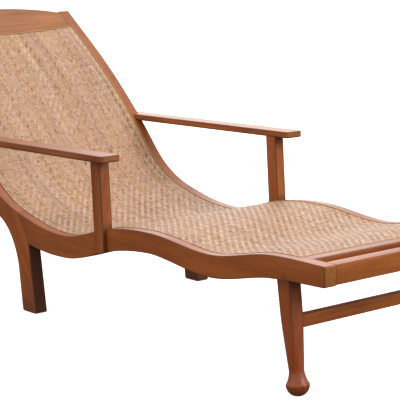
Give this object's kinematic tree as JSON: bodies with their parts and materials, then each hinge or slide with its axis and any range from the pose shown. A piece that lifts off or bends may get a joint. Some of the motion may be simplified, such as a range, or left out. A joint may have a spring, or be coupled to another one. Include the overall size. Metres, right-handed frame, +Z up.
{
  "type": "chaise longue",
  "caption": "Long reclining chair: a serpentine hardwood frame on short legs, open flat arms on posts, and a woven cane seat and back in one sheet.",
  "frame": {"origin": "on the floor, under the middle of the frame's length and width", "axes": "+Z up, +Y toward the head end, +X toward the left of someone who lies on it"},
  "size_m": [0.7126, 1.8246, 0.7798],
  "materials": {
    "frame_wood": "semi-gloss",
    "woven_cane": "satin",
    "cane_bead": "satin"
  },
  "bodies": {
    "root": {"right_rail": "frame_wood", "left_rail": "frame_wood", "right_stile": "frame_wood", "left_stile": "frame_wood", "crest_rail": "frame_wood", "seat_rail": "frame_wood", "foot_rail": "frame_wood", "end_rail": "frame_wood", "right_front_leg": "frame_wood", "left_front_leg": "frame_wood", "stretcher": "frame_wood", "right_post": "frame_wood", "left_post": "frame_wood", "right_arm": "frame_wood", "left_arm": "frame_wood", "cane_panel": "woven_cane", "right_bead": "cane_bead", "left_bead": "cane_bead", "foot_bead": "cane_bead", "crest_bead": "cane_bead"}
  },
  "joints": []
}
